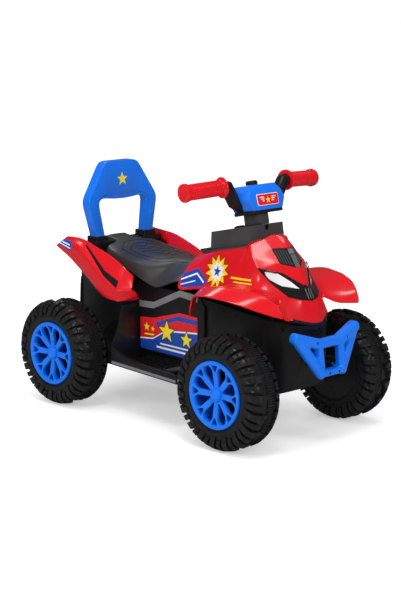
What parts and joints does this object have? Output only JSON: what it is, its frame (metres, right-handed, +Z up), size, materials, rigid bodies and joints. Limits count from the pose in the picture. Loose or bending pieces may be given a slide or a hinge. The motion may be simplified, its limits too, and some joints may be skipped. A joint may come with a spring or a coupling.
{
  "type": "ride-on all-terrain vehicle",
  "caption": "Child's battery ride-on quad with chunky hollow wheels, linked handlebar steering, sprung foot pedal, geared rear drive, footboards, front guard and backrest.",
  "frame": {"origin": "middle of the whole box, on the floor under the tyres", "axes": "+Z up, the vehicle faces -Y, the rider's left hand is at +X"},
  "size_m": [0.3832, 0.6744, 0.4744],
  "materials": {
    "red_shell": "gloss moulded red polypropylene",
    "blue_plastic": "gloss moulded bright blue plastic",
    "black_plastic": "fine grained black plastic",
    "dark_grey_plastic": "fine grained dark grey plastic",
    "tyre_plastic": "black blow-moulded plastic with a moulded tread",
    "lens_white": "opaque white gloss lens",
    "steel": "drawn steel rod, bright",
    "nylon": "natural nylon",
    "battery_case": "grey battery case"
  },
  "bodies": {
    "body": {"chassis": "black_plastic", "front_cowl": "red_shell", "headlight_bezel": "black_plastic", "headlight_lens_left": "lens_white", "headlight_lens_right": "lens_white", "hood_vent_left": "black_plastic", "hood_vent_right": "black_plastic", "grille_strip": "dark_grey_plastic", "dash_pod": "black_plastic", "steering_collar": "black_plastic", "seat": "dark_grey_plastic", "backrest": "blue_plastic", "backrest_socket_left": "black_plastic", "backrest_socket_right": "black_plastic", "rear_fender_left": "red_shell", "rear_fender_right": "red_shell", "fender_stripe_left": "black_plastic", "fender_stripe_right": "black_plastic", "footboard_left": "black_plastic", "footboard_right": "black_plastic", "side_panel_left": "black_plastic", "side_panel_right": "black_plastic", "bumper_guard": "blue_plastic", "front_axle_beam": "black_plastic", "kingpin_left": "steel", "kingpin_right": "steel", "rear_axle": "steel", "axle_bush_left": "nylon", "axle_bush_right": "nylon", "gearbox_housing": "black_plastic", "motor": "steel", "battery": "battery_case", "pedal_switch": "black_plastic"},
    "handlebar": {"handlebar": "black_plastic", "grip_left": "red_shell", "grip_right": "red_shell", "handlebar_cover": "blue_plastic", "front_plaque": "red_shell", "steering_column": "steel"},
    "horn_button": {"horn_button": "black_plastic"},
    "direction_switch": {"direction_switch": "black_plastic"},
    "foot_pedal": {"foot_pedal": "black_plastic"},
    "steering_link": {"steering_link": "black_plastic"},
    "knuckle_left": {"knuckle_left": "black_plastic"},
    "knuckle_right": {"knuckle_right": "black_plastic"},
    "motor_pinion": {"motor_pinion": "nylon"},
    "wheel_front_left": {"tyre_front_left": "tyre_plastic", "rim_front_left": "blue_plastic", "hub_cap_front_left": "blue_plastic"},
    "wheel_front_right": {"tyre_front_right": "tyre_plastic", "rim_front_right": "blue_plastic", "hub_cap_front_right": "blue_plastic"},
    "wheel_rear_left": {"tyre_rear_left": "tyre_plastic", "rim_rear_left": "blue_plastic", "hub_cap_rear_left": "blue_plastic"},
    "wheel_rear_right": {"tyre_rear_right": "tyre_plastic", "rim_rear_right": "blue_plastic", "hub_cap_rear_right": "blue_plastic", "drive_gear": "nylon"}
  },
  "joints": [
    {"name": "handlebar_turn", "type": "hinge", "parent": "body", "child": "handlebar", "pos_m": [0, -0.14262, 0.387], "axis": [0, 0.2079, 0.9781], "range_deg": [-30, 30]},
    {"name": "steer_left", "type": "hinge", "parent": "body", "child": "knuckle_left", "pos_m": [0.098, -0.22112, 0.10434], "axis": [0, 0, 1], "range_deg": [-18.5, 18.5]},
    {"name": "steer_right", "type": "hinge", "parent": "body", "child": "knuckle_right", "pos_m": [-0.098, -0.22112, 0.10434], "axis": [0, 0, 1], "range_deg": [-18.5, 18.5]},
    {"name": "steering_link_slide", "type": "slide", "parent": "body", "child": "steering_link", "axis": [1, 0, 0], "range_m": [-0.016, 0.016]},
    {"name": "spin_front_left", "type": "hinge", "parent": "knuckle_left", "child": "wheel_front_left", "pos_m": [0.155, -0.22112, 0.10434], "axis": [1, 0, 0], "continuous": true},
    {"name": "spin_front_right", "type": "hinge", "parent": "knuckle_right", "child": "wheel_front_right", "pos_m": [-0.155, -0.22112, 0.10434], "axis": [1, 0, 0], "continuous": true},
    {"name": "spin_rear_left", "type": "hinge", "parent": "body", "child": "wheel_rear_left", "pos_m": [0.155, 0.23288, 0.10434], "axis": [1, 0, 0], "continuous": true},
    {"name": "spin_rear_right", "type": "hinge", "parent": "body", "child": "wheel_rear_right", "pos_m": [-0.155, 0.23288, 0.10434], "axis": [1, 0, 0], "continuous": true},
    {"name": "motor_pinion_spin", "type": "hinge", "parent": "body", "child": "motor_pinion", "pos_m": [-0.05, 0.22038, 0.12599], "axis": [1, 0, 0], "continuous": true},
    {"name": "horn_button_press", "type": "slide", "parent": "handlebar", "child": "horn_button", "axis": [0, -0.2079, -0.9781], "range_m": [0, 0.0025], "stiffness_N_per_m": 600, "springref_m": -0.0015},
    {"name": "direction_switch_rock", "type": "hinge", "parent": "body", "child": "direction_switch", "pos_m": [0, -0.1011, 0.36591], "axis": [1, 0, 0], "range_deg": [-7, 7]},
    {"name": "foot_pedal_press", "type": "hinge", "parent": "body", "child": "foot_pedal", "pos_m": [-0.11, -0.03162, 0.1045], "axis": [1, 0, 0], "range_deg": [0, 12], "stiffness_Nm_per_rad": 0.6, "springref_deg": -14.32}
  ],
  "couplings": [
    {"joint": "steer_left", "follows": "handlebar_turn", "ratio": 0.61},
    {"joint": "steer_right", "follows": "handlebar_turn", "ratio": 0.61},
    {"joint": "steering_link_slide", "follows": "handlebar_turn", "m_per_rad": -0.03},
    {"joint": "motor_pinion_spin", "follows": "spin_rear_right", "ratio": -4}
  ]
}
